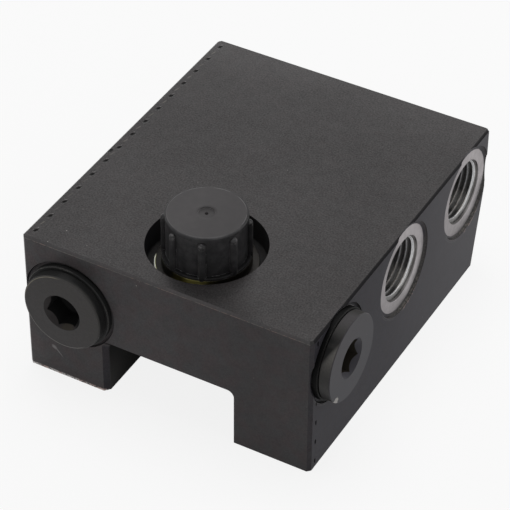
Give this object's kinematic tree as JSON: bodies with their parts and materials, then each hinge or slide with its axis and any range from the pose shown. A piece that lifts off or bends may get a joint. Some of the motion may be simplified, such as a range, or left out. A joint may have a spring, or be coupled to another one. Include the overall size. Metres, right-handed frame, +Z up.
{
  "type": "hydraulic distribution block",
  "caption": "Blackened steel hydraulic block on two feet, with threaded ports, socket-head screw plugs and a sunk stud nipple under a ribbed screw cap.",
  "frame": {"origin": "centre of the foot hole pattern, on the underside", "axes": "+X towards the face with the row of three connections, +Y along the block away from the face with the single plug, +Z up out of the top face"},
  "size_m": [0.1006, 0.1187, 0.0612],
  "materials": {
    "blackened_steel": "satin black oxide with a fine grain",
    "plug_steel": "satin black oxide, turned",
    "plain_zinc": "clear zinc plated",
    "nipple_steel": "zinc plated, turned",
    "yellow_zinc": "yellow passivated zinc",
    "cap_plastic": "moulded polyethylene"
  },
  "bodies": {
    "root": {"block_body": "blackened_steel", "front_plug": "plug_steel", "front_plug_seal": "plain_zinc", "side_plug": "plug_steel", "side_plug_seal": "plain_zinc", "stud_nipple": "nipple_steel", "stud_nipple_seal": "yellow_zinc", "protective_cap": "cap_plastic"}
  },
  "joints": []
}
